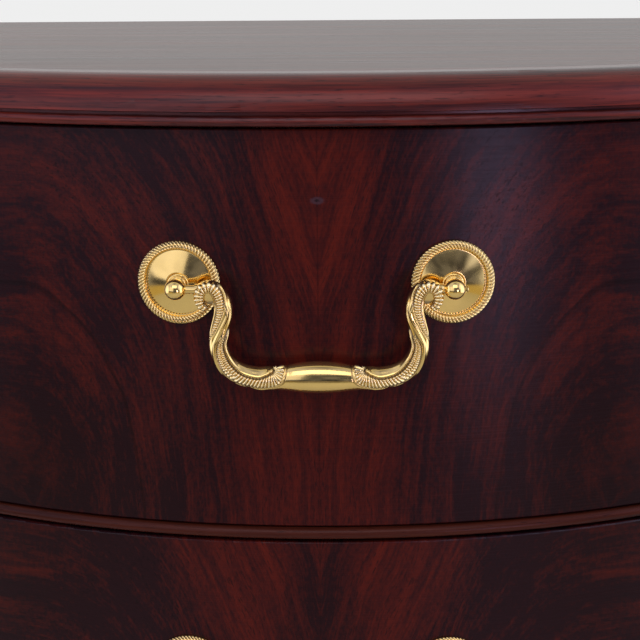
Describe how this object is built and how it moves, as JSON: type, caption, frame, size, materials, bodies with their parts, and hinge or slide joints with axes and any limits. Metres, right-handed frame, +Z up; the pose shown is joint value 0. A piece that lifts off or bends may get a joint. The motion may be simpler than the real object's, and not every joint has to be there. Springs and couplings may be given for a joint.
{
  "type": "tall narrow chest of drawers",
  "caption": "Tall narrow chest of graduated drawers with a bowed front, moulded top edge, beaded dividers, bracket feet and a swinging brass bail pull on each drawer.",
  "frame": {"origin": "on the floor, under the centre of the chest's bounding box", "axes": "+X to the viewer's right, +Y from the bowed front to the back, +Z up"},
  "size_m": [0.448, 0.3878, 1.2178],
  "materials": {
    "crotch_veneer": "satin lacquer",
    "mahogany_veneer": "satin lacquer",
    "mahogany_solid": "satin lacquer",
    "drawer_lining": "bare, sanded",
    "carcass_wood": "bare, sanded",
    "brass": "polished, lacquered"
  },
  "bodies": {
    "case": {"front_rails": "carcass_wood", "bottom_rail": "carcass_wood", "divider_beads": "mahogany_solid", "drawer_runners": "carcass_wood", "side_right": "mahogany_veneer", "side_left": "mahogany_veneer", "stile_right": "mahogany_solid", "stile_left": "mahogany_solid", "base_panel": "carcass_wood", "back_panel": "carcass_wood", "top_panel": "mahogany_veneer", "top_edge": "mahogany_solid", "base_moulding": "mahogany_solid", "foot_front_right": "mahogany_solid", "foot_front_left": "mahogany_solid", "foot_back_right": "mahogany_solid", "foot_back_left": "mahogany_solid", "corner_blocks": "carcass_wood"},
    "drawer_1": {"drawer_1_front": "crotch_veneer", "drawer_1_sides": "drawer_lining", "drawer_1_back": "drawer_lining", "drawer_1_bottom": "drawer_lining", "drawer_1_rosettes": "brass", "drawer_1_posts": "brass"},
    "bail_1": {"drawer_1_bail": "brass"},
    "drawer_2": {"drawer_2_front": "crotch_veneer", "drawer_2_sides": "drawer_lining", "drawer_2_back": "drawer_lining", "drawer_2_bottom": "drawer_lining", "drawer_2_rosettes": "brass", "drawer_2_posts": "brass"},
    "bail_2": {"drawer_2_bail": "brass"},
    "drawer_3": {"drawer_3_front": "crotch_veneer", "drawer_3_sides": "drawer_lining", "drawer_3_back": "drawer_lining", "drawer_3_bottom": "drawer_lining", "drawer_3_rosettes": "brass", "drawer_3_posts": "brass"},
    "bail_3": {"drawer_3_bail": "brass"},
    "drawer_4": {"drawer_4_front": "crotch_veneer", "drawer_4_sides": "drawer_lining", "drawer_4_back": "drawer_lining", "drawer_4_bottom": "drawer_lining", "drawer_4_rosettes": "brass", "drawer_4_posts": "brass"},
    "bail_4": {"drawer_4_bail": "brass"},
    "drawer_5": {"drawer_5_front": "crotch_veneer", "drawer_5_sides": "drawer_lining", "drawer_5_back": "drawer_lining", "drawer_5_bottom": "drawer_lining", "drawer_5_rosettes": "brass", "drawer_5_posts": "brass"},
    "bail_5": {"drawer_5_bail": "brass"},
    "drawer_6": {"drawer_6_front": "crotch_veneer", "drawer_6_sides": "drawer_lining", "drawer_6_back": "drawer_lining", "drawer_6_bottom": "drawer_lining", "drawer_6_rosettes": "brass", "drawer_6_posts": "brass"},
    "bail_6": {"drawer_6_bail": "brass"}
  },
  "joints": [
    {"name": "drawer_1_slide", "type": "slide", "parent": "case", "child": "drawer_1", "axis": [0, -1, 0], "range_m": [0, 0.24]},
    {"name": "bail_1_swing", "type": "hinge", "parent": "drawer_1", "child": "bail_1", "pos_m": [0, -0.18855, 1.1414], "axis": [-1, 0, 0], "range_deg": [-4.5, 180]},
    {"name": "drawer_2_slide", "type": "slide", "parent": "case", "child": "drawer_2", "axis": [0, -1, 0], "range_m": [0, 0.24]},
    {"name": "bail_2_swing", "type": "hinge", "parent": "drawer_2", "child": "bail_2", "pos_m": [0, -0.18855, 0.9818], "axis": [-1, 0, 0], "range_deg": [-4.5, 180]},
    {"name": "drawer_3_slide", "type": "slide", "parent": "case", "child": "drawer_3", "axis": [0, -1, 0], "range_m": [0, 0.24]},
    {"name": "bail_3_swing", "type": "hinge", "parent": "drawer_3", "child": "bail_3", "pos_m": [0, -0.18855, 0.8142], "axis": [-1, 0, 0], "range_deg": [-4.5, 180]},
    {"name": "drawer_4_slide", "type": "slide", "parent": "case", "child": "drawer_4", "axis": [0, -1, 0], "range_m": [0, 0.24]},
    {"name": "bail_4_swing", "type": "hinge", "parent": "drawer_4", "child": "bail_4", "pos_m": [0, -0.18855, 0.6386], "axis": [-1, 0, 0], "range_deg": [-4.5, 180]},
    {"name": "drawer_5_slide", "type": "slide", "parent": "case", "child": "drawer_5", "axis": [0, -1, 0], "range_m": [0, 0.24]},
    {"name": "bail_5_swing", "type": "hinge", "parent": "drawer_5", "child": "bail_5", "pos_m": [0, -0.18855, 0.455], "axis": [-1, 0, 0], "range_deg": [-4.5, 180]},
    {"name": "drawer_6_slide", "type": "slide", "parent": "case", "child": "drawer_6", "axis": [0, -1, 0], "range_m": [0, 0.24]},
    {"name": "bail_6_swing", "type": "hinge", "parent": "drawer_6", "child": "bail_6", "pos_m": [0, -0.18855, 0.2634], "axis": [-1, 0, 0], "range_deg": [-4.5, 180]}
  ]
}
